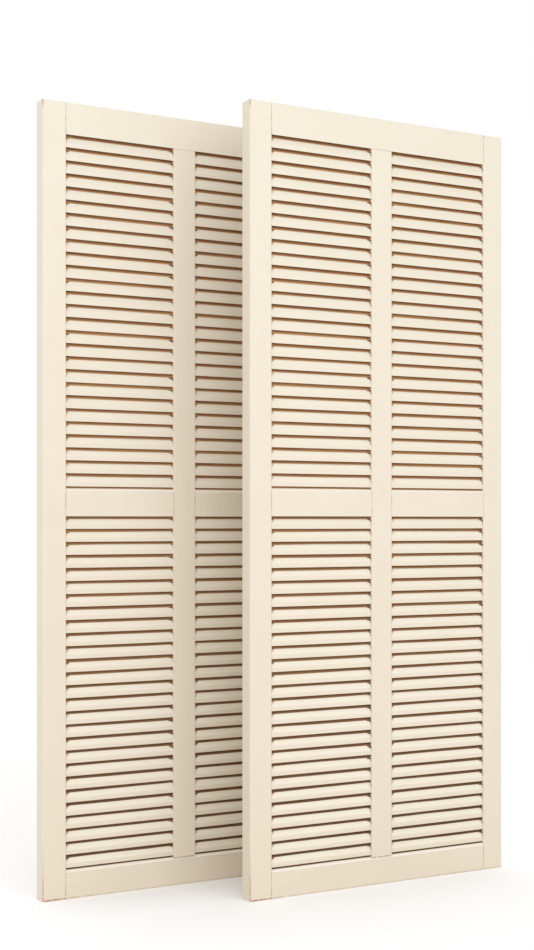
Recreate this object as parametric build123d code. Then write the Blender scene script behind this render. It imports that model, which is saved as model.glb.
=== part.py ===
from build123d import *
from math import radians, sqrt, tan
import os

# A pair of louvred shutters in painted softwood. Each is a mortised frame with four fields of fixed slats.
# Lengths are in mm. In a shutter's own frame x runs along its width from the left edge, y from its face
# to its back, and z up from its foot.

# Shutter
shutter_height = 993.0
shutter_width = 394.0
shutter_thickness = 20.0
arris = 0.8                     # flat planed along the long outer edges of the stiles

# Frame, with heights measured on the face
stile_width = 31.0
mullion_width = 31.0
top_rail_height = 40.0
mid_rail_height = 32.0
bottom_rail_height = 33.0
rail_slope = 45.0               # degrees by which the rails' inner edges rise towards the back
seam = 0.15                     # joint line left open between two frame pieces
mullion_foot_lift = 2.5         # level cut at the front of the mullion's foot, above the rail's front edge

# Tenons and their mortises
tenon_thickness = 7.0
tenon_shoulder = 7.0            # wood left above, below or beside a tenon
rail_tenon_length = 22.0        # in a stile
mid_rail_tenon_length = 11.0    # in the mullion
mullion_tenon_length = 14.0     # in the top and bottom rails
mortise_clearance = 0.15

# Slats, which rise towards the back at 45 degrees
slat_thickness = 7.2
slat_setback = 1.5              # from the shutter's face to the noses, and as much at the back
nose_height = 5.0               # upright part of a nose
nose_lean = 2.0                 # how far a nose leans back above that
slat_pitch = 16.3               # wanted: the real pitch divides the field evenly
gap_above_slats = 3.6           # between the rail's front edge and the highest slat's front edge
gap_below_slats = 5.35          # between the lowest slat's nose and the rail's front edge

# The upper front corner at each end of a slat is cut away: along its front edge, down its nose
# and back along its top
corner_cut_length = 6.5
corner_cut_drop = 6.0
corner_cut_back = 1.0

# Stopped housings that hold the slats' ends
housing_depth = 5.0
housing_clearance = 0.12

# Where the second shutter stands, seen from the first
rear_shift_left = 222.0
rear_shift_back = 128.0

# Places that follow from the sizes
middle_depth = shutter_thickness / 2
middle_width = shutter_width / 2
rail_rise = tan(radians(rail_slope))
field_height = (shutter_height - top_rail_height - mid_rail_height - bottom_rail_height) / 2
field_width = (shutter_width - 2 * stile_width - mullion_width) / 2
mullion_left = stile_width + field_width
mullion_right = mullion_left + mullion_width
right_stile_left = shutter_width - stile_width
lower_field_bottom = bottom_rail_height
mid_rail_bottom = lower_field_bottom + field_height
upper_field_bottom = mid_rail_bottom + mid_rail_height
top_rail_bottom = upper_field_bottom + field_height

# Slats, worked out
slat_upright = slat_thickness * sqrt(2)                 # a slat's thickness, measured upright
slat_run = shutter_thickness - 2 * slat_setback         # its run from front to back
slat_back = shutter_thickness - slat_setback
slat_face_height = slat_upright + nose_lean             # height of the nose, seen from the front
slat_travel = field_height - gap_above_slats - slat_face_height - gap_below_slats
slat_steps = round(slat_travel / slat_pitch)
slat_heights = [gap_below_slats + step * slat_travel / slat_steps for step in range(slat_steps + 1)]
slat_length = field_width + 2 * (housing_depth - housing_clearance)

# A rail is given by its front face's bottom and top, and by how its lower and upper edges rise
top_rail_lines = (top_rail_bottom, shutter_height, rail_rise, 0)
mid_rail_lines = (mid_rail_bottom, upper_field_bottom, rail_rise, rail_rise)
bottom_rail_lines = (0, lower_field_bottom, 0, rail_rise)


def bar(section, start, end):
    """A straight piece along x, with its section given by (y, z) points."""
    return Pos(start, 0, 0) * extrude(Plane.YZ * Polygon(*section), end - start)


def block(x_span, y_span, z_span):
    """A square-edged block between two values of x, of y and of z."""
    (front, back), (low, high) = y_span, z_span
    return bar([(front, low), (back, low), (back, high), (front, high)], *x_span)


def grown(span, amount):
    """A span of two values, opened at both ends."""
    return (span[0] - amount, span[1] + amount)


def rail_section(lines):
    bottom, top, rise_below, rise_above = lines
    back_bottom = bottom + shutter_thickness * rise_below
    back_top = top + shutter_thickness * rise_above
    return [(0, bottom), (shutter_thickness, back_bottom), (shutter_thickness, back_top), (0, top)]


def rail_tenon(lines, x_span, clearance=0):
    """The tenon of a rail, or with a clearance the mortise for it, at middle depth."""
    bottom, top, rise_below, rise_above = lines
    low = bottom + middle_depth * rise_below + tenon_shoulder
    high = top + middle_depth * rise_above - tenon_shoulder
    depth = grown((middle_depth, middle_depth), tenon_thickness / 2 + clearance)
    return block(grown(x_span, clearance), depth, grown((low, high), clearance))


def rail(lines, left, right, left_tenon, right_tenon):
    """A rail between two uprights, with a tenon at each end."""
    body = bar(rail_section(lines), left + seam, right - seam)
    return body + rail_tenon(lines, (left - left_tenon, right + right_tenon))


def mullion_tenon(clearance=0):
    """The mullion's two tenons as one post from rail to rail, or the mortises for them."""
    low = lower_field_bottom + middle_depth * rail_rise - mullion_tenon_length
    high = top_rail_bottom + middle_depth * rail_rise + mullion_tenon_length
    width = grown((mullion_left, mullion_right), clearance - tenon_shoulder)
    depth = grown((middle_depth, middle_depth), tenon_thickness / 2 + clearance)
    return block(width, depth, grown((low, high), clearance))


def nose_points():
    """The front of a slat's section, from its lowest point up: three (y, z) points."""
    return [
        (slat_setback, 0),
        (slat_setback, nose_height),
        (slat_setback + nose_lean, slat_face_height),
    ]


def slat_section():
    """A 45 degree board with an upright nose at the front and the same, upside down, at the back."""
    front = nose_points()
    back = [(shutter_thickness - y, slat_run + slat_upright - z) for y, z in front]
    return front[::-1] + back[::-1]


def housing_section():
    """The slot for a slat's end: as thick as the board, stopped at the noses."""
    low_back = slat_run
    slot = Polygon(
        (slat_setback, 0),
        (slat_back, low_back),
        (slat_back, low_back + slat_upright),
        (slat_setback, slat_upright),
    )
    return offset(slot, amount=housing_clearance, kind=Kind.INTERSECTION)


def corner_cut(end):
    """The plane that cuts a slat's upper front corner off, at its right (1) or left (-1) end."""
    face = end * field_width / 2
    (_, knee_height), (edge_depth, edge_height) = nose_points()[1:]
    drop_share = corner_cut_drop / (edge_height - knee_height)
    edge_point = Vector(face - end * corner_cut_length, edge_depth, edge_height)
    nose_point = Vector(face, edge_depth - nose_lean * drop_share, edge_height - corner_cut_drop)
    top_point = Vector(face, edge_depth + corner_cut_back, edge_height + corner_cut_back)
    outward = (nose_point - edge_point).cross(top_point - edge_point) * end
    return Plane(origin=edge_point, z_dir=outward)


def slat():
    """One slat, centred on x = 0 and standing on its nose at z = 0."""
    board = bar(slat_section(), -slat_length / 2, slat_length / 2)
    for end in (1, -1):
        board = split(board, bisect_by=corner_cut(end), keep=Keep.BOTTOM)
    return board


def slat_field(left, bottom):
    """All the slats between two uprights and two rails."""
    one = slat()
    middle = left + field_width / 2
    return Compound([Pos(middle, 0, bottom + height) * one for height in slat_heights])


def housings(face, into):
    """The housings of an upright's edge at x = face, cut towards +x (1) or -x (-1)."""
    slot = extrude(Plane.YZ * housing_section(), into * housing_depth)
    fields = (lower_field_bottom, upper_field_bottom)
    return [Pos(face, 0, bottom + height) * slot for bottom in fields for height in slat_heights]


def left_stile():
    upright = block((0, stile_width), (0, shutter_thickness), (0, shutter_height))
    outer_edges = upright.edges().filter_by(Axis.Z).sort_by(Axis.X)[:2]
    upright = chamfer(outer_edges, arris)
    tenon_span = (stile_width - rail_tenon_length, stile_width)
    rails = (top_rail_lines, mid_rail_lines, bottom_rail_lines)
    mortises = [rail_tenon(lines, tenon_span, mortise_clearance) for lines in rails]
    return upright - mortises - housings(stile_width, -1)


def right_stile():
    return mirror(left_stile(), about=Plane.YZ.offset(middle_width))


def mullion_section():
    """The mullion from the side: its ends follow the rails' slopes, and its foot is cut level at the front."""
    low = lower_field_bottom + seam
    high = top_rail_bottom - seam
    back_and_head = rail_section((low, high, rail_rise, rail_rise))[1:]
    foot = low + mullion_foot_lift
    return [(0, foot), (mullion_foot_lift / rail_rise, foot)] + back_and_head


def mullion():
    """The centre upright, housed on both edges for the slats."""
    body = bar(mullion_section(), mullion_left, mullion_right)
    left_tenon = (mullion_left, mullion_left + mid_rail_tenon_length)
    right_tenon = (mullion_right - mid_rail_tenon_length, mullion_right)
    mortises = [rail_tenon(mid_rail_lines, span, mortise_clearance) for span in (left_tenon, right_tenon)]
    return body + mullion_tenon() - mortises - housings(mullion_left, 1) - housings(mullion_right, -1)


def long_rail(lines):
    """The top or bottom rail: stile to stile, mortised for the mullion."""
    whole = rail(lines, stile_width, right_stile_left, rail_tenon_length, rail_tenon_length)
    return whole - mullion_tenon(mortise_clearance)


def left_mid_rail():
    return rail(mid_rail_lines, stile_width, mullion_left, rail_tenon_length, mid_rail_tenon_length)


def right_mid_rail():
    return mirror(left_mid_rail(), about=Plane.YZ.offset(middle_width))


def shutter():
    """Every piece of one shutter, by name."""
    return {
        "left_stile": left_stile(),
        "right_stile": right_stile(),
        "mullion": mullion(),
        "top_rail": long_rail(top_rail_lines),
        "bottom_rail": long_rail(bottom_rail_lines),
        "left_mid_rail": left_mid_rail(),
        "right_mid_rail": right_mid_rail(),
        "upper_left_slats": slat_field(stile_width, upper_field_bottom),
        "upper_right_slats": slat_field(mullion_right, upper_field_bottom),
        "lower_left_slats": slat_field(stile_width, lower_field_bottom),
        "lower_right_slats": slat_field(mullion_right, lower_field_bottom),
    }


# The pair stands on z = 0, with the origin under the middle of its whole box
pair_middle_x = (shutter_width - rear_shift_left) / 2
pair_middle_y = (shutter_thickness + rear_shift_back) / 2
places = {
    "front_shutter": Pos(-pair_middle_x, -pair_middle_y, 0),
    "rear_shutter": Pos(-pair_middle_x - rear_shift_left, -pair_middle_y + rear_shift_back, 0),
}

os.makedirs("parts", exist_ok=True)
pieces = shutter()
for name, place in places.items():
    for piece, shape in pieces.items():
        export_step(place * shape, f"parts/{name}_{piece}.step")
print(f"{len(slat_heights)} slats in a field, {slat_travel / slat_steps:.2f} mm apart")
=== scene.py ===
# %% [markdown]
# A pair of louvred shutters
# The object is two alike shutters of painted pine, one standing in front of the other. Each has a
# mortised frame and four fields of fixed slats. The construction comes ready made, as solids at their
# real size, so this lesson only gives them their finish: the eased edges, the brushed paint, the brown
# wood that shows where no brush could reach, and a quiet studio to stand in.

# %% Load the construction
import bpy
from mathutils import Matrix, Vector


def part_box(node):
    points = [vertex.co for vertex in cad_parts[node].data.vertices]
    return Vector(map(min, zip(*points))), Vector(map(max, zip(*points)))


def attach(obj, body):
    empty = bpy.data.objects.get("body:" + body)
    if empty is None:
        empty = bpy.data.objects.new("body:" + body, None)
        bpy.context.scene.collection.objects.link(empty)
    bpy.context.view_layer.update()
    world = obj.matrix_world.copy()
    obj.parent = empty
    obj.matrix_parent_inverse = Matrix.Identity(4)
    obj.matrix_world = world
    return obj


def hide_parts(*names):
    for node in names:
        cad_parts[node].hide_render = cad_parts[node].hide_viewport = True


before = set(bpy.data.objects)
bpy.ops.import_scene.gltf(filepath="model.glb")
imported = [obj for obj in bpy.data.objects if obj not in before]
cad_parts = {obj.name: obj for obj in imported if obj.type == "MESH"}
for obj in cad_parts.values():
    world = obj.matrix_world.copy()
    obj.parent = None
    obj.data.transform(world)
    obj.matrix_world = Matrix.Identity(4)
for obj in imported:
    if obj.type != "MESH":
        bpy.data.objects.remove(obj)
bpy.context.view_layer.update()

# %% [markdown]
# Everything is measured in metres, but a joiner thinks in millimetres. One named value turns one into the
# other, so that every size below can be read as it would be on a rule. Colours are written as on a paint
# card, in sRGB, and one function turns them into the linear values that a shader wants.

# %% Units and colours
from math import cos, pi, radians, sin, sqrt
import random

import bmesh
import bpy
from mathutils import Vector

millimetre = 0.001


def linear(hex_colour):
    """An sRGB colour as a linear one. The numbers are those of the sRGB standard."""
    channels = [int(hex_colour[place:place + 2], 16) / 255 for place in (1, 3, 5)]
    curve = [c / 12.92 if c <= 0.04045 else ((c + 0.055) / 1.055) ** 2.4 for c in channels]
    return (*curve, 1.0)


print("one metre is", round(1 / millimetre), "millimetres")

# %% [markdown]
# The two shutters are alike in every way, so the finish is described once, in a shutter's own
# millimetres: x across from its left edge, y from its face to its back, z up from its foot. Only the
# corner from which these are counted differs between the two. Every other place is read off the pieces. The
# rails' bevels rise at 45 degrees, so a rail's back edge lies its thickness higher than its front edge.

# %% Where each shutter stands, and the places on it
shutter_names = ("front_shutter", "rear_shutter")
corners = {}
for shutter in shutter_names:
    corners[shutter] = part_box(f"{shutter}_left_stile")[0]
    print(shutter, "starts at", [round(c / millimetre, 1) for c in corners[shutter]], "mm")


def span_of(piece):
    """A piece's lowest and highest corners, in its shutter's own millimetres."""
    return [(corner - corners["front_shutter"]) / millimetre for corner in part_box(f"front_shutter_{piece}")]


stile_width, shutter_thickness, shutter_height = span_of("left_stile")[1]
shutter_width = span_of("right_stile")[1].x
mullion_left = span_of("mullion")[0].x
mullion_right = span_of("mullion")[1].x
top_rail_bottom = span_of("top_rail")[0].z
mid_rail_bottom = span_of("left_mid_rail")[0].z
mid_rail_top = span_of("left_mid_rail")[1].z - shutter_thickness
bottom_rail_top = span_of("bottom_rail")[1].z - shutter_thickness

half_width = shutter_width / 2
half_height = shutter_height / 2
half_mullion = (mullion_right - mullion_left) / 2
half_mid_rail = (mid_rail_top - mid_rail_bottom) / 2
half_opening = (top_rail_bottom - bottom_rail_top) / 2
middle_of_opening = (top_rail_bottom + bottom_rail_top) / 2
print("a shutter is", round(shutter_width), "by", round(shutter_height), "by", round(shutter_thickness), "mm")
print("slats show over", round(mullion_left - stile_width, 1), "mm on each side of the mullion")

# %% [markdown]
# The camera stands where the photographer's did. The picture is 534 pixels wide and 950 high, and its long
# side is what the lens is measured against. The level lines meet at row 522, a little below the middle. A
# camera tilted up would see that too, but it would make the uprights lean together, so the lens is shifted
# instead. The near corner of the front shutter falls on column 250, just under two metres away.

# %% Camera
picture_width = 534
picture_height = 950
focal_pixels = 1578
horizon_row = 522
corner_column = 250
corner_distance = 1.951           # m
camera_height = 0.470             # m
camera_turn = radians(30.2)
film_size = 36                    # mm

ahead = Vector((sin(camera_turn), cos(camera_turn), 0))
across = Vector((cos(camera_turn), -sin(camera_turn), 0))
corner_offset = (corner_column - picture_width / 2) / focal_pixels * corner_distance
camera_place = corners["front_shutter"] - ahead * corner_distance - across * corner_offset
camera_place.z = camera_height

camera_data = bpy.data.cameras.new("camera")
camera_data.sensor_width = film_size
camera_data.lens = focal_pixels / picture_height * film_size
camera_data.shift_y = (horizon_row - picture_height / 2) / picture_height
camera = bpy.data.objects.new("camera", camera_data)
camera.location = camera_place
camera.rotation_euler = (radians(90), 0, -camera_turn)
bpy.context.scene.collection.objects.link(camera)
bpy.context.scene.camera = camera
print("camera at", [round(c, 3) for c in camera_place], "with a lens of", round(camera_data.lens, 1), "mm")

# %% [markdown]
# Materials are built from nodes. One small helper adds a node of any kind: it makes the node's settings,
# which decide what sockets it has in use, and then fills those. So a material reads as a list of what it is
# made of. Two sets of settings come back all the time, so they are named here.

# %% A helper that adds a node
soft_ends = {"interpolation_type": "SMOOTHSTEP"}
as_colours = {"data_type": "RGBA", "clamp_factor": True}


def in_use(sockets):
    """The sockets that a node has in use with its present settings."""
    return [socket for socket in sockets if socket.enabled]


def fill(material, node, inputs):
    """Gives a node's sockets, by name or in order, a value, a colour in hex or a link from a node."""
    if isinstance(inputs, dict):
        filled = [(node.inputs[name], given) for name, given in inputs.items()]
    else:
        filled = zip(in_use(node.inputs), inputs)
    for socket, given in filled:
        if isinstance(given, bpy.types.Node):
            given = in_use(given.outputs)[0]
        if isinstance(given, bpy.types.NodeSocket):
            material.node_tree.links.new(given, socket)
        else:
            socket.default_value = linear(given) if isinstance(given, str) else given


def add_node(material, kind, inputs=(), **settings):
    """Adds a node with its settings and links. Its kind is Blender's name without ShaderNode in front."""
    made = material.node_tree.nodes.new(f"ShaderNode{kind}")
    for name, value in settings.items():
        setattr(made, name, value)
    fill(material, made, inputs)
    return made


def new_material(name):
    """An empty material with its shader, ready for nodes."""
    material = bpy.data.materials.new(name)
    material.use_nodes = True
    return material, material.node_tree.nodes["Principled BSDF"]


print("every node is made with", add_node.__name__)

# %% [markdown]
# A finish has to know where on its own shutter it is. Each shutter could have a material of its own, but one
# for both keeps them alike. Object coordinates give the place in the room, and taking the shutter's corner
# away leaves the place on the shutter. Which corner that is follows from the depth: the rear shutter is the
# one behind the middle of the pair.

# %% Places on a shutter, in millimetres
def place_on_shutter(material):
    """A point's place on its own shutter: the vector, and its x, y and z."""
    room = add_node(material, "TexCoord").outputs["Object"]
    depth = add_node(material, "SeparateXYZ", [room]).outputs["Y"]
    is_rear = add_node(material, "Math", [depth, 0.0], operation="GREATER_THAN")
    step = corners["rear_shutter"] - corners["front_shutter"]
    moved = [is_rear, step, corners["front_shutter"]]
    corner = add_node(material, "VectorMath", moved, operation="MULTIPLY_ADD")
    place = add_node(material, "VectorMath", [room, corner], operation="SUBTRACT")
    place = add_node(material, "VectorMath", [place, 1 / millimetre], operation="SCALE")
    parts = add_node(material, "SeparateXYZ", [place]).outputs
    return place, parts["X"], parts["Y"], parts["Z"]


def gap_to(material, value, line):
    """How far a coordinate is from a fixed line."""
    past_line = add_node(material, "Math", [value, line], operation="SUBTRACT")
    return add_node(material, "Math", [past_line], operation="ABSOLUTE")


def edge_distance(material, first, second):
    """The distance from an edge where two coordinates are both near zero."""
    gaps = [gap_to(material, coordinate, 0.0) for coordinate in (first, second)]
    squares = [add_node(material, "Math", [gap, 2.0], operation="POWER") for gap in gaps]
    total = add_node(material, "Math", squares, operation="ADD")
    return add_node(material, "Math", [total], operation="SQRT")


def depth_inside(material, y):
    """How far a point lies below the nearer of the shutter's two faces."""
    to_back = add_node(material, "Math", [shutter_thickness, y], operation="SUBTRACT")
    return add_node(material, "Math", [y, to_back], operation="MINIMUM")


print("the rear shutter stands", corners["rear_shutter"] - corners["front_shutter"], "m from the front one")

# %% [markdown]
# A painted edge, a joint or a patch of wear is a mask: a distance in millimetres from a line, turned into a
# value from 0 to 1 with soft ends. It could be painted on an image, but a distance keeps its real size on
# every piece. Noise breaks it up, so that no line is even.

# %% Masks for lines and patches
speck_detail = 3.0                # the finer layers in a noise, and
speck_roughness = 0.65            # how strong they are
streak_detail = 2.0
streak_roughness = 0.6
noise_middle = 0.5                # the mean of any noise


def near(material, distance, reach):
    """A mask that is 1 on a line and fades to 0 at reach mm from it."""
    return add_node(material, "MapRange", [distance, 0.0, reach, 1.0, 0.0], **soft_ends)


def specks(material, place, size, limits):
    """Noise as patches of a size in mm: nothing under the first limit, all of it over the second."""
    inputs = {"Vector": place, "Scale": 1 / size, "Detail": speck_detail, "Roughness": speck_roughness}
    noise = add_node(material, "TexNoise", inputs)
    return add_node(material, "MapRange", [noise, *limits], **soft_ends)


def streaks(material, place, spacing, length, runs_along, detail=streak_detail):
    """Noise drawn out along the wood: spacing across it and length along it, in mm."""
    stretch = [1 / spacing] * 3
    stretch["xyz".index(runs_along)] = 1 / length
    drawn = add_node(material, "VectorMath", [place, stretch], operation="MULTIPLY")
    inputs = {"Vector": drawn, "Scale": 1.0, "Detail": detail, "Roughness": streak_roughness}
    return add_node(material, "TexNoise", inputs)


print("masks are made with", near.__name__, specks.__name__, "and", streaks.__name__)

# %% [markdown]
# The finish is brushed, slightly yellowed cream paint, of the eggshell kind: light spreads wide on it, with
# only a faint sheen. Its tone hardly changes from place to place. Close up it has brush marks that run with
# the wood. They are far too shallow to model, so they are noise, which also gives a faint relief. Towards
# the floor upright faces are painted a little darker, a painted shade, and the leaning ones a little lighter,
# a painted highlight, as light from above falls more squarely on the leaning faces there.

# %% Brushed cream paint
fresh_cream = "#DFD7C7"
shaded_low_cream = "#DDD2C0"
lit_low_cream = "#E8E0D0"
thin_cream = "#CDBD9F"
paint_roughness = 0.42
paint_ior = 1.5
brush_mark_spacing = 1.6          # mm across the marks, drawn twice as coarse as real ones so that they show
brush_mark_length = 90.0          # mm
brush_mark_share = 0.14           # how much of the thin tone shows in the marks
patch_size = 140.0                # mm across the slow changes of tone
patch_limits = (0.3, 0.7)         # the noise at which a patch begins, and at which it is whole
patch_share = 0.10                # how much of the thin tone shows in the patches
relief_strength = 0.3             # of the relief's full effect on the light


def brushed_cream(material, place, z, upright, brush):
    """The paint's colour, with painted shade on upright faces and a painted highlight on leaning ones low
    down, slow patches and fine brush marks.
    """
    # low down: painted shade on upright faces and a painted highlight on leaning ones
    low_down = near(material, z, shutter_height)
    painted_low_light = add_node(material, "Mix", [upright, lit_low_cream, shaded_low_cream], **as_colours)
    tone = add_node(material, "Mix", [low_down, fresh_cream, painted_low_light], **as_colours)
    patches = specks(material, place, patch_size, patch_limits)
    patches = add_node(material, "Math", [patches, patch_share], operation="MULTIPLY")
    uneven = add_node(material, "Math", [brush, brush_mark_share, patches], operation="MULTIPLY_ADD")
    return add_node(material, "Mix", [uneven, tone, thin_cream], **as_colours)


def finish_paint(material, shader, colour, relief, relief_height):
    """Gives the shader its colour, its relief in mm, and the sheen of eggshell paint."""
    inputs = {"Height": relief, "Strength": relief_strength, "Distance": relief_height * millimetre}
    bump = add_node(material, "Bump", inputs)
    fill(material, shader, {"Base Color": colour, "Normal": bump, "IOR": paint_ior})


print("paint runs from", fresh_cream, "down to", shaded_low_cream)

# %% [markdown]
# The shutter was painted when it was whole, so the brush never reached the inner faces between the slats.
# What shows there is dull bare pine: orange where a nearly dry brush grazed it, brown past that, and painted
# darker in the lower half, a painted shade for the light that reaches less far into the gaps there. The wood
# could be a material of its own, but the coat ends in the middle of a face. So the depth past the coat's
# edge, in millimetres, decides between the two.

# %% Brown pine past the paint's edge
grazed_pine = "#CBA070"
brown_pine = "#B7885C"
shaded_low_pine = "#745235"
wood_roughness = 0.8
edge_softness = 0.35              # mm on each side of the coat's edge over which it ends
grazed_depth = 1.6                # mm above the foot where the painted shade has gone
shaded_low_height = 700.0              # mm above the foot where the dust has gone


def bare_or_painted(material, shader, past_edge, z, tone, grazed=0.0, cut_shade=0.0):
    """The paint's tone up to its edge, and dull pine past it: grazed makes it orange, and the cut shade and
    the height paint shade on it.
    """
    inside = add_node(material, "MapRange", [past_edge, 0.0, grazed_depth], **soft_ends)
    inside = add_node(material, "Math", [inside, grazed], operation="SUBTRACT")
    wood = add_node(material, "Mix", [inside, grazed_pine, brown_pine], **as_colours)
    # painted shade: the wood is darker low down, and at the top of every cut
    low_shade = near(material, z, shaded_low_height)
    low_shade = add_node(material, "Math", [low_shade, cut_shade], operation="MAXIMUM")
    wood = add_node(material, "Mix", [low_shade, wood, shaded_low_pine], **as_colours)
    bare = add_node(material, "MapRange", [past_edge, -edge_softness, edge_softness], **soft_ends)
    dulled = [bare, 0.0, 1.0, paint_roughness, wood_roughness]
    fill(material, shader, {"Roughness": add_node(material, "MapRange", dulled, **soft_ends)})
    return add_node(material, "Mix", [bare, tone, wood], **as_colours)


print("the pine goes from", grazed_pine, "to", brown_pine, "and low down to", shaded_low_pine)

# %% [markdown]
# On the frame the brush turned the corner by about three millimetres, and the bevels and the inner faces by
# the noses, which look up or sideways, are painted lighter: a painted highlight. Each inner face could have a
# mask of its own, but on all of them the coat ends about as deep below the nearer of the shutter's two faces,
# so that depth does for all. It counts only inside the openings, so that the outer edges, the top and the
# foot keep their coat.

# %% The unpainted inside of the frame
upright_reach = 3.0               # mm that the coat goes round an upright's inner corner
bevel_reach = 3.1                 # mm that it goes up a rail's bevel
ragged_edge = 0.8                 # mm by which the coat's edge wanders
opening_margin_x = 5.0            # mm of the outer edges, and
opening_margin_z = 20.0           # mm of the ends, that are outside the openings
well_coated = -1.0                # mm past the coat's edge: what every point outside the openings counts as
lit_face_cream = "#F2EADC"           # the painted highlight's tone
least_turned = 0.4                # how far up or sideways a face's normal looks where the painted highlight begins, and
most_turned = 0.7                 # where it is whole: a bevel's normal looks up by 0.71


def inside_openings(material, x, z):
    """1 between the shutter's outer edges, and 0 on them."""
    across_it = gap_to(material, x, half_width)
    up_it = gap_to(material, z, half_height)
    in_width = add_node(material, "Math", [across_it, half_width - opening_margin_x], operation="LESS_THAN")
    in_height = add_node(material, "Math", [up_it, half_height - opening_margin_z], operation="LESS_THAN")
    return add_node(material, "Math", [in_width, in_height], operation="MULTIPLY")


def past_the_brush(material, y, reach, brush):
    """How far a point is past the coat's edge, in mm below the face."""
    wander = add_node(material, "Math", [brush, noise_middle], operation="SUBTRACT")
    wandered = [wander, ragged_edge, depth_inside(material, y)]
    depth = add_node(material, "Math", wandered, operation="MULTIPLY_ADD")
    return add_node(material, "Math", [depth, reach], operation="SUBTRACT")


def highlight_mask(material, inside):
    """A mask of the faces in the openings that look up or sideways, which are painted lighter as a painted
    highlight.
    """
    normal = add_node(material, "NewGeometry").outputs["True Normal"]
    parts = add_node(material, "SeparateXYZ", [normal]).outputs
    sideways = gap_to(material, parts["X"], 0.0)
    turned = add_node(material, "Math", [parts["Z"], sideways], operation="MAXIMUM")
    highlight = add_node(material, "MapRange", [turned, least_turned, most_turned], **soft_ends)
    return add_node(material, "Math", [highlight, inside], operation="MULTIPLY")


print("paint reaches", upright_reach, "mm round the uprights and", bevel_reach, "mm up the bevels")

# %% [markdown]
# Each joint shows as a hairline of reddish wood, where the paint has cracked as the pieces shrank, and it is
# open in some stretches and closed in others. The joints could be drawn one by one, but they lie on a few
# lines that are alike on both halves of a shutter, so each is a distance from such a line.

# %% Cracked joints
worn_pine = "#9A6248"
hairline_half_width = 0.9         # mm, drawn wider than the real crack so that it shows
closed_share = 0.22               # of wood along a joint where its crack is closed
open_share = 0.50                 # more of it where the crack is open
crack_length = 14.0               # mm of an open stretch
crack_limits = (0.48, 0.56)       # the noise at which a crack opens, and at which it is wide open


def beside_the_slats(material, z):
    """Two masks of the heights between the top and bottom rails: all of them, and those off the mid rail."""
    from_mid_rail = gap_to(material, z, middle_of_opening)
    in_opening = add_node(material, "Math", [from_mid_rail, half_opening], operation="LESS_THAN")
    off_mid_rail = add_node(material, "Math", [from_mid_rail, half_mid_rail], operation="GREATER_THAN")
    beside_slats = add_node(material, "Math", [in_opening, off_mid_rail], operation="MULTIPLY")
    return in_opening, beside_slats


def cracked_joints(material, place, from_middle, in_opening, beside_slats):
    """Hairlines where the rails meet the stiles and the mullion."""
    to_stile = gap_to(material, from_middle, half_width - stile_width)
    to_mullion = gap_to(material, from_middle, half_mullion)
    stile_line = near(material, to_stile, hairline_half_width)
    mullion_line = near(material, to_mullion, hairline_half_width)
    mullion_line = add_node(material, "Math", [mullion_line, in_opening], operation="MULTIPLY")
    joint = add_node(material, "Math", [stile_line, mullion_line], operation="MAXIMUM")
    beside_rails = add_node(material, "Math", [1.0, beside_slats], operation="SUBTRACT")
    joint = add_node(material, "Math", [joint, beside_rails], operation="MULTIPLY")
    cracks = specks(material, place, crack_length, crack_limits)
    share = add_node(material, "Math", [cracks, open_share, closed_share], operation="MULTIPLY_ADD")
    return add_node(material, "Math", [joint, share], operation="MULTIPLY")


print("joints are hairlines of", 2 * hairline_half_width, "mm")

# %% [markdown]
# The edge at the left of each field of slats is rubbed thin all along. The mullion meets the top rail in a
# thin line of the same kind, and its foot is cut level a little above the bottom rail's edge, where the line
# is broken. They are finer than anything worth modelling, so they are masks too, and join the cracks.

# %% Rubbed edges and the mullion's ends
rubbed_share = 0.30               # of wood along a rubbed edge, and at the mullion's head
mullion_foot_lift = 2.6           # mm from the bottom rail's front edge up to the mullion's foot
foot_line_half_width = 0.7        # mm
foot_line_dash = 6.0              # mm of an open stretch of it
foot_line_limits = (0.42, 0.5)


def rubbed_edges(material, x, beside_slats):
    """The edge at the left of each field of slats."""
    to_left_edges = [gap_to(material, x, edge) for edge in (stile_width, mullion_right)]
    to_left_edge = add_node(material, "Math", to_left_edges, operation="MINIMUM")
    rubbed = near(material, to_left_edge, hairline_half_width)
    rubbed = add_node(material, "Math", [rubbed, beside_slats], operation="MULTIPLY")
    return add_node(material, "Math", [rubbed, rubbed_share], operation="MULTIPLY")


def mullion_ends(material, place, from_middle, z):
    """The lines across the mullion's head and foot."""
    head = near(material, gap_to(material, z, top_rail_bottom), hairline_half_width)
    head = add_node(material, "Math", [head, rubbed_share], operation="MULTIPLY")
    to_foot = gap_to(material, z, bottom_rail_top + mullion_foot_lift)
    foot = near(material, to_foot, foot_line_half_width)
    dashes = specks(material, place, foot_line_dash, foot_line_limits)
    foot = add_node(material, "Math", [foot, dashes], operation="MULTIPLY")
    ends = add_node(material, "Math", [head, foot], operation="MAXIMUM")
    on_mullion = add_node(material, "Math", [from_middle, half_mullion], operation="LESS_THAN")
    return add_node(material, "Math", [ends, on_mullion], operation="MULTIPLY")


def joint_lines(material, place, x, z):
    """All the hairlines together."""
    from_middle = gap_to(material, x, half_width)
    in_opening, beside_slats = beside_the_slats(material, z)
    joints = cracked_joints(material, place, from_middle, in_opening, beside_slats)
    rubbed = rubbed_edges(material, x, beside_slats)
    lines = add_node(material, "Math", [joints, rubbed], operation="MAXIMUM")
    ends = mullion_ends(material, place, from_middle, z)
    return add_node(material, "Math", [lines, ends], operation="MAXIMUM")


print("the mullion's foot is at", round(bottom_rail_top + mullion_foot_lift, 1), "mm")

# %% [markdown]
# Scuffs sit where hands, floors and years would leave them. The foot is worn down to the wood under the left
# stile, the corner that a shutter is walked on, and only lightly from there on. The upright corners are
# knocked at their lower and upper ends. All of it is a distance from an edge, broken up into patches.

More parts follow.
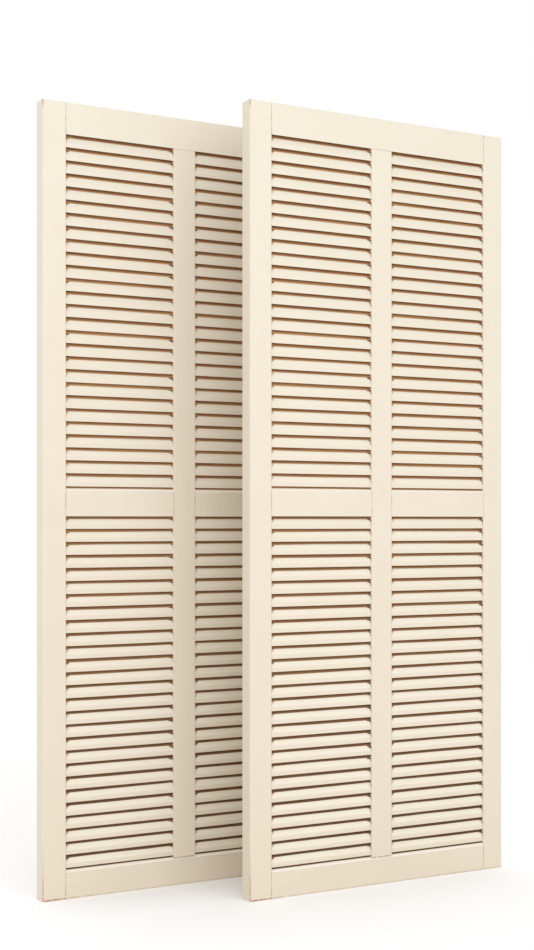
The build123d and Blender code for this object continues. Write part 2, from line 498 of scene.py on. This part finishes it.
# %% Scuffs
foot_scuff_reach = 3.2            # mm from the foot's front edge
light_scuff_share = 0.35          # of that scuffing away from the left stile
scuff_runs_on = 15.0              # mm past the stile over which it fades to that
corner_scuff_reach = 2.0          # mm from an upright edge
scuffed_height = 75.0             # mm up the corners from the floor
knocked_height = 14.0             # mm down the corners from the top
scuff_size = 5.0                  # mm
scuff_limits = (0.36, 0.52)


def scuffs(material, place, x, y, z):
    """Wood showing along the foot's front edge and at the front corners, in broken patches."""
    foot = near(material, edge_distance(material, y, z), foot_scuff_reach)
    fading = [x, stile_width, stile_width + scuff_runs_on, 1.0, light_scuff_share]
    share = add_node(material, "MapRange", fading, **soft_ends)
    foot = add_node(material, "Math", [foot, share], operation="MULTIPLY")

    side = near(material, edge_distance(material, x, y), corner_scuff_reach)
    low = near(material, z, scuffed_height)
    below_top = add_node(material, "Math", [shutter_height, z], operation="SUBTRACT")
    high = near(material, below_top, knocked_height)
    ends = add_node(material, "Math", [low, high], operation="MAXIMUM")
    corner = add_node(material, "Math", [side, ends], operation="MULTIPLY")

    worn = add_node(material, "Math", [foot, corner], operation="MAXIMUM")
    broken = specks(material, place, scuff_size, scuff_limits)
    return add_node(material, "Math", [worn, broken], operation="MULTIPLY")


print("the foot is scuffed", foot_scuff_reach, "mm deep")

# %% [markdown]
# The frame's finish puts these together. The brush marks, with the ridges of the grain below them, also
# give a relief of less than a fifth of a millimetre. Grain runs up the stiles and the mullion and
# along the rails, so the two sorts of piece have a material each.

# %% The frame's finish
grain_spacing = 7.0               # mm between the ridges of pine grain
grain_length = 260.0              # mm
grain_share = 0.6                 # the ridges' height beside that of the brush marks
frame_relief = 0.2                # mm


def painted_frame(name, runs_along, brush_reach):
    """Brushed cream paint on a piece of pine whose grain runs along x or z."""
    material, shader = new_material(name)
    place, x, y, z = place_on_shutter(material)
    brush = streaks(material, place, brush_mark_spacing, brush_mark_length, runs_along)
    inside = inside_openings(material, x, z)

    tone = brushed_cream(material, place, z, upright=1.0, brush=brush)
    wear = [joint_lines(material, place, x, z), scuffs(material, place, x, y, z)]
    worn = add_node(material, "Math", wear, operation="MAXIMUM")
    tone = add_node(material, "Mix", [worn, tone, worn_pine], **as_colours)
    # painted highlight on the bevels and the inner faces
    highlight = highlight_mask(material, inside)
    tone = add_node(material, "Mix", [highlight, tone, lit_face_cream], **as_colours)

    past_edge = past_the_brush(material, y, brush_reach, brush)
    past_edge = add_node(material, "Mix", [inside, well_coated, past_edge])
    colour = bare_or_painted(material, shader, past_edge, z, tone)
    grain = streaks(material, place, grain_spacing, grain_length, runs_along)
    relief = add_node(material, "Math", [grain, grain_share, brush], operation="MULTIPLY_ADD")
    finish_paint(material, shader, colour, relief, frame_relief)
    return material


paint_on_uprights = painted_frame("brushed_paint_on_upright_pine", "z", upright_reach)
paint_on_rails = painted_frame("brushed_paint_on_level_pine", "x", bevel_reach)
print("the frame takes", paint_on_uprights.name, "and", paint_on_rails.name)

# %% [markdown]
# What is seen stands for a plain piece of the construction. Each object takes its finish and the body it
# rides on, and the plain piece is hidden. Nothing on a shutter moves, so they all ride on the one body.

# %% A helper that stands a mesh in for a piece
def show_piece(mesh, name, node, slot, material):
    """Makes an object of a mesh, to stand for a node of the construction."""
    data = bpy.data.meshes.new(name)
    mesh.to_mesh(data)
    mesh.free()
    data.materials.append(material)
    piece = bpy.data.objects.new(name, data)
    bpy.context.scene.collection.objects.link(piece)
    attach(piece, "root")
    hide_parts(node)
    return piece


print("pieces are shown with", show_piece.__name__)

# %% [markdown]
# A planed piece of pine is never sharp: one pass of sandpaper along each long edge leaves it round, and
# paint makes it rounder. The solids of the frame have crisp edges, so each is shown by a copy whose long
# edges are eased by a quarter of a millimetre. A bevel modifier would ease the short ones too, at the joints
# and in the housings, so the long ones are picked by their length and eased in the mesh. The construction
# comes as triangles, so those of one flat face are joined first, and points that the easing brings together
# are merged after it. That keeps each copy a closed mesh without slivers.

# %% The frame, with its long edges eased
frame_paints = {
    "left_stile": paint_on_uprights,
    "right_stile": paint_on_uprights,
    "mullion": paint_on_uprights,
    "top_rail": paint_on_rails,
    "bottom_rail": paint_on_rails,
    "left_mid_rail": paint_on_rails,
    "right_mid_rail": paint_on_rails,
}
eased_edge = 0.25                 # mm
shortest_eased = 100.0            # mm
least_corner = radians(30)        # an edge between flatter faces than this isn't eased
still_flat = radians(0.5)         # the largest angle between triangles of one flat face
same_place = 0.001                # mm
round_edge = {"segments": 2, "profile": 0.5, "affect": "EDGES"}    # a quarter circle in two steps


def eased_piece(node, material):
    """A frame piece with its long edges rounded, and its flat faces kept flat."""
    mesh = bmesh.new()
    mesh.from_mesh(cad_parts[node].data)
    bmesh.ops.remove_doubles(mesh, verts=mesh.verts, dist=same_place * millimetre)
    bmesh.ops.dissolve_limit(mesh, angle_limit=still_flat, verts=mesh.verts, edges=mesh.edges)
    for face in mesh.faces:
        face.smooth = False
        face.material_index = 0
    long_edges = [edge for edge in mesh.edges if edge.calc_length() > shortest_eased * millimetre]
    crisp_edges = [edge for edge in long_edges if edge.calc_face_angle(0.0) > least_corner]
    eased = bmesh.ops.bevel(mesh, geom=crisp_edges, offset=eased_edge * millimetre, **round_edge)
    for face in eased["faces"]:
        face.smooth = True
    bmesh.ops.remove_doubles(mesh, verts=mesh.verts, dist=same_place * millimetre)
    bmesh.ops.dissolve_degenerate(mesh, edges=mesh.edges, dist=same_place * millimetre)
    return show_piece(mesh, f"eased_{node}", node, "painted_frame", material)


for shutter in shutter_names:
    for piece, material in frame_paints.items():
        made = eased_piece(f"{shutter}_{piece}", material)
        print(made.name, "has", len(made.data.polygons), "faces")

# %% [markdown]
# A slat was painted in its place, through the gaps, so only its nose took a full coat, and the coat ends
# soon after the upper edge. The edge differs from slat to slat: noise that changes within less than the
# slats' spacing, and only slowly along them, gives each its own stroke. The brush went less far into the
# corners by the uprights. Depth alone can't tell a cut corner from a nose, so three marks on the slat's
# faces, made with its mesh, say which have their full coat, which are cut corners, and which the brush only
# grazed: the cut at the left end and the edge under the nose.

# %% Where the slats' coat ends
slat_marks = ("fully_coated", "cut_corner", "missed_by_brush")
slat_reach = 3.8                  # mm below the face
stroke_spacing = 14.0             # mm
stroke_length = 120.0             # mm
stroke_detail = 0.0               # a stroke has no finer layers
stroke_wander = 1.8               # mm by which one stroke reaches further in than another
short_on_cuts = 0.3               # mm by which the coat ends sooner on a cut corner, and
sharp_on_cuts = 3.0               # how much more sharply it ends there
full_coat = 10.0                  # mm: deeper than anything that a full coat has to cover


def past_slat_coat(material, y, brush, stroke, on_cut, coated):
    """How far a point is past the coat's edge, which wanders with the stroke and ends sooner on a cut."""
    wander = add_node(material, "Math", [stroke, noise_middle], operation="SUBTRACT")
    sooner = add_node(material, "Math", [on_cut, short_on_cuts], operation="MULTIPLY")
    moved = add_node(material, "Math", [wander, stroke_wander, sooner], operation="MULTIPLY_ADD")
    past_edge = past_the_brush(material, y, slat_reach, brush)
    past_edge = add_node(material, "Math", [past_edge, moved], operation="ADD")
    sharper = add_node(material, "MapRange", [on_cut, 0.0, 1.0, 1.0, sharp_on_cuts], **soft_ends)
    past_edge = add_node(material, "Math", [past_edge, sharper], operation="MULTIPLY")
    covered = add_node(material, "Math", [coated, full_coat], operation="MULTIPLY")
    return add_node(material, "Math", [past_edge, covered], operation="SUBTRACT")


print("the slats' coat ends", slat_reach, "mm below the face")

# %% [markdown]
# The paint itself is the frame's. Its brush marks are finer, because a smaller brush fits the gaps. On the
# cut corners it is thin, with a little painted shade, and past its edge they are painted dark, a painted
# shade for the notches. One material does for all the slats of both shutters, since every difference between
# them follows from their place or their marks.

# %% The slats' finish
slat_setback = span_of("upper_left_slats")[0].y
nose_softness = 0.4               # mm behind the nose over which the tone turns to that of a leaning face
slat_brush_spacing = 1.1          # mm
slat_brush_length = 60.0          # mm
thin_shaded_cut_share = 0.1              # of thin paint, partly a painted shade, on every cut corner, and
shade_on_cuts = 0.9               # of painted shade on the wood at the top of every cut, at any height
grazed_share = 0.6                # of bare wood where the brush only grazed
grazed_slats = 0.7                # of orange wood on the slats that were grazed furthest in
grazed_limits = (0.55, 0.7)
slat_relief = 0.15                # mm


def slat_tone(material, place, y, z, brush, on_cut, missed):
    """The coat's colour: thinner and with a little painted shade on a cut corner, and with the wood showing
    where the brush only grazed.
    """
    behind_nose = [depth_inside(material, y), slat_setback]
    behind_nose = add_node(material, "Math", behind_nose, operation="SUBTRACT")
    upright = near(material, behind_nose, nose_softness)
    tone = brushed_cream(material, place, z, upright, brush)
    # thin paint with a little painted shade on the cut corners
    thin_and_shaded = add_node(material, "Math", [on_cut, thin_shaded_cut_share], operation="MULTIPLY")
    tone = add_node(material, "Mix", [thin_and_shaded, tone, thin_cream], **as_colours)
    grazed = add_node(material, "Math", [missed, grazed_share], operation="MULTIPLY")
    return add_node(material, "Mix", [grazed, tone, grazed_pine], **as_colours)


def painted_slats(name):
    """Cream paint on the noses, ending in brown pine."""
    material, shader = new_material(name)
    place, _, y, z = place_on_shutter(material)
    marks = [add_node(material, "Attribute", attribute_name=mark) for mark in slat_marks]
    coated, on_cut, missed = [mark.outputs["Fac"] for mark in marks]
    brush = streaks(material, place, slat_brush_spacing, slat_brush_length, "x")
    stroke = streaks(material, place, stroke_spacing, stroke_length, "x", stroke_detail)

    tone = slat_tone(material, place, y, z, brush, on_cut, missed)
    past_edge = past_slat_coat(material, y, brush, stroke, on_cut, coated)
    grazed = add_node(material, "MapRange", [stroke, *grazed_limits, 0.0, grazed_slats], **soft_ends)
    # painted shade at the top of every cut
    cut_shade = add_node(material, "Math", [on_cut, shade_on_cuts], operation="MULTIPLY")
    colour = bare_or_painted(material, shader, past_edge, z, tone, grazed, cut_shade)
    finish_paint(material, shader, colour, brush, slat_relief)
    return material


paint_on_slats = painted_slats("thinning_paint_on_slats")
print("the slats take", paint_on_slats.name)

# %% [markdown]
# A slat is a board at 45 degrees with an upright nose that leans back towards its upper edge, and the same
# again upside down at the back. Its two upper front corners are sliced off. It could be cut out of the
# construction, but one clean slat is easier to mark and to ease, so it is drawn once, as a prism along x. Its
# length, depth and spacing are read off the construction, and the smaller sizes are the construction's own.

# %% The slat's sizes and its section
slats_in_field = 27
slat_thickness = 7.2              # mm
nose_height = 5.0                 # mm
nose_lean = 2.0                   # mm
hidden_length = 4.88              # mm of each end that the uprights hide
corner_cut_length = 6.5           # mm
corner_cut_drop = 6.0             # mm
corner_cut_back = 1.0             # mm

field_low, field_high = span_of("upper_left_slats")
slat_length = field_high.x - field_low.x
slat_run = field_high.y - field_low.y
slat_upright = slat_thickness * sqrt(2)
slat_height = slat_run + slat_upright
slat_step = (field_high.z - field_low.z - slat_height) / (slats_in_field - 1)


def slat_section():
    """The slat's outline as (y, z) points, from its lowest front point round by the top."""
    face_height = slat_upright + nose_lean
    front = [(0, 0), (0, nose_height), (nose_lean, face_height)]
    back = [(slat_run - y, slat_height - z) for y, z in front]
    return front + back


print("slats of", round(slat_length, 1), "mm, one every", round(slat_step, 2), "mm")

# %% [markdown]
# A corner is sliced off by one plane through three points: one along the front edge, one down the nose and
# one back along the top. The cut is closed with a face of its own, which is then marked for the paint. Last,
# every edge is eased, for these boards are small and soft, and the paint fills what the sandpaper left.

# %% One slat
slat_eased_edge = 0.4             # mm
least_nose_normal = 0.9           # a face that looks forwards or back by more than this is part of a nose
least_under_nose = 0.2            # an eased edge that looks forwards and down by more is under a nose


def cut_corner(mesh, end):
    """Slices off the upper front corner at the right (1) or left (-1) end, and closes the cut."""
    face = end * (slat_length / 2 - hidden_length)
    (knee_y, knee_z), (edge_y, edge_z) = slat_section()[1:3]
    share = corner_cut_drop / (edge_z - knee_z)
    edge_point = Vector((face - end * corner_cut_length, edge_y, edge_z))
    nose_point = Vector((face, edge_y - (edge_y - knee_y) * share, edge_z - corner_cut_drop))
    top_point = Vector((face, edge_y + corner_cut_back, edge_z + corner_cut_back))
    outward = (nose_point - edge_point).cross(top_point - edge_point) * end
    everything = list(mesh.verts) + list(mesh.edges) + list(mesh.faces)
    plane = {"plane_co": edge_point, "plane_no": outward}
    cut = bmesh.ops.bisect_plane(mesh, geom=everything, clear_outer=True, **plane)
    rim = [e for e in cut["geom_cut"] if isinstance(e, bmesh.types.BMEdge)]
    return bmesh.ops.contextual_create(mesh, geom=rim)["faces"]


def slat_prism():
    """The slat in millimetres, with crisp edges, centred on x and standing on its nose."""
    mesh = bmesh.new()
    left_end = [mesh.verts.new((-slat_length / 2, y, z)) for y, z in slat_section()]
    first = mesh.faces.new(left_end)
    grown = bmesh.ops.extrude_face_region(mesh, geom=[first])["geom"]
    moved = [v for v in grown if isinstance(v, bmesh.types.BMVert)]
    bmesh.ops.translate(mesh, verts=moved, vec=(slat_length, 0, 0))
    bmesh.ops.recalc_face_normals(mesh, faces=mesh.faces)
    mesh.normal_update()
    return mesh


def one_slat():
    """The slat with its corners cut and its edges eased, and with the marks that its paint needs."""
    mesh = slat_prism()
    coated, on_cut, missed = [mesh.faces.layers.float.new(mark) for mark in slat_marks]
    for face in mesh.faces:
        face[coated] = float(abs(face.normal.y) > least_nose_normal)
    for end in (1, -1):
        for face in cut_corner(mesh, end):
            face[coated] = 0.0
            face[on_cut] = 1.0
            face[missed] = float(end < 0)
    bmesh.ops.recalc_face_normals(mesh, faces=mesh.faces)
    eased = bmesh.ops.bevel(mesh, geom=list(mesh.edges), offset=slat_eased_edge, **round_edge)
    mesh.normal_update()
    for face in eased["faces"]:
        face.smooth = True
        if max(face.normal.y, face.normal.z) < -least_under_nose:
            face[missed] = 1.0
    return mesh


slat = one_slat()
print("one slat has", len(slat.faces), "faces")

# %% [markdown]
# Each field is one object that stands for the plain slats of the construction. An array would make all 27
# slats of it alike, but no hand fits 27 slats alike, so a loop adds copies and turns and moves each by a
# hair. They are placed from the field's own box, so they sit in the same housings.

# %% Four fields of slats in each shutter
hand_fitting = random.Random(27)
largest_turn = radians(0.4)
largest_shift = 0.12              # mm


def slat_field(node):
    """Every slat of one field, in place of that field's plain ones."""
    low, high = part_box(node)
    middle = (low + high) / 2
    template = bpy.data.meshes.new("one_slat")
    slat.to_mesh(template)
    mesh = bmesh.new()
    for number in range(slats_in_field):
        before = len(mesh.verts)
        mesh.from_mesh(template)
        mesh.verts.ensure_lookup_table()
        turn = hand_fitting.uniform(-largest_turn, largest_turn)
        shift = hand_fitting.uniform(-largest_shift, largest_shift)
        for vertex in mesh.verts[before:]:
            x, y, z = vertex.co
            y, z = y - z * turn, z + y * turn
            height = z + number * slat_step + shift
            vertex.co = (middle.x + x * millimetre, low.y + y * millimetre, low.z + height * millimetre)
    bpy.data.meshes.remove(template)
    return show_piece(mesh, node.replace("slats", "painted_slats"), node, "painted_slats", paint_on_slats)


for shutter in shutter_names:
    for field in ("upper_left", "upper_right", "lower_left", "lower_right"):
        made = slat_field(f"{shutter}_{field}_slats")
        print(made.name, "has", len(made.data.polygons), "faces")

# %% [markdown]
# The studio is a plain white floor under an even white sky, with a large softbox in front of the pair, higher
# than their tops, and a second at the left that fills in their edges. Light from above falls more and more
# aslant towards the foot, so upright faces darken downwards while the leaning noses stay bright. The two
# also lay the front shutter's shade softly on the one behind. Lamps smaller than these would do it sharply.
# A softbox's watts are worked out from its area, so that a larger one isn't a dimmer one.

# %% Floor and light
floor_reach = 20.0                # m
floor_white = "#FFFFFF"
floor_roughness = 0.9
sky_white = "#FFFFFF"
sky_strength = 1.0
softboxes = {                     # side in m, place in m, and strength
    "front_softbox": (2.4, (0.0, -2.6, 1.6), 0.76),
    "left_softbox": (2.0, (-1.6, -1.6, 1.0), 0.63),
}

floor_data = bpy.data.meshes.new("floor")
floor_corners = [(x * floor_reach, y * floor_reach, 0) for x, y in ((-1, -1), (1, -1), (1, 1), (-1, 1))]
floor_data.from_pydata(floor_corners, [], [(0, 1, 2, 3)])
floor_material, floor_shader = new_material("matt_white_floor")
floor_finish = {"Base Color": floor_white, "Roughness": floor_roughness, "Specular IOR Level": 0.0}
fill(floor_material, floor_shader, floor_finish)
floor_data.materials.append(floor_material)
floor = bpy.data.objects.new("floor", floor_data)
bpy.context.scene.collection.objects.link(floor)

world = bpy.data.worlds.new("even_white_sky")
world.use_nodes = True
world.node_tree.nodes["Background"].inputs["Color"].default_value = linear(sky_white)
world.node_tree.nodes["Background"].inputs["Strength"].default_value = sky_strength
bpy.context.scene.world = world

for name, (side, place, strength) in softboxes.items():
    light = bpy.data.lights.new(name, "AREA")
    light.shape = "SQUARE"
    light.size = side
    light.energy = strength * pi * side ** 2
    softbox = bpy.data.objects.new(name, light)
    softbox.location = place
    softbox.rotation_euler = (radians(90), 0, 0)
    softbox.visible_camera = False
    bpy.context.scene.collection.objects.link(softbox)
bpy.context.scene.view_settings.view_transform = "Standard"
print("floor", floor.name, "and lights", *softboxes)

# %% [markdown]
# Nothing more is added.

# %% The end
print("the end")
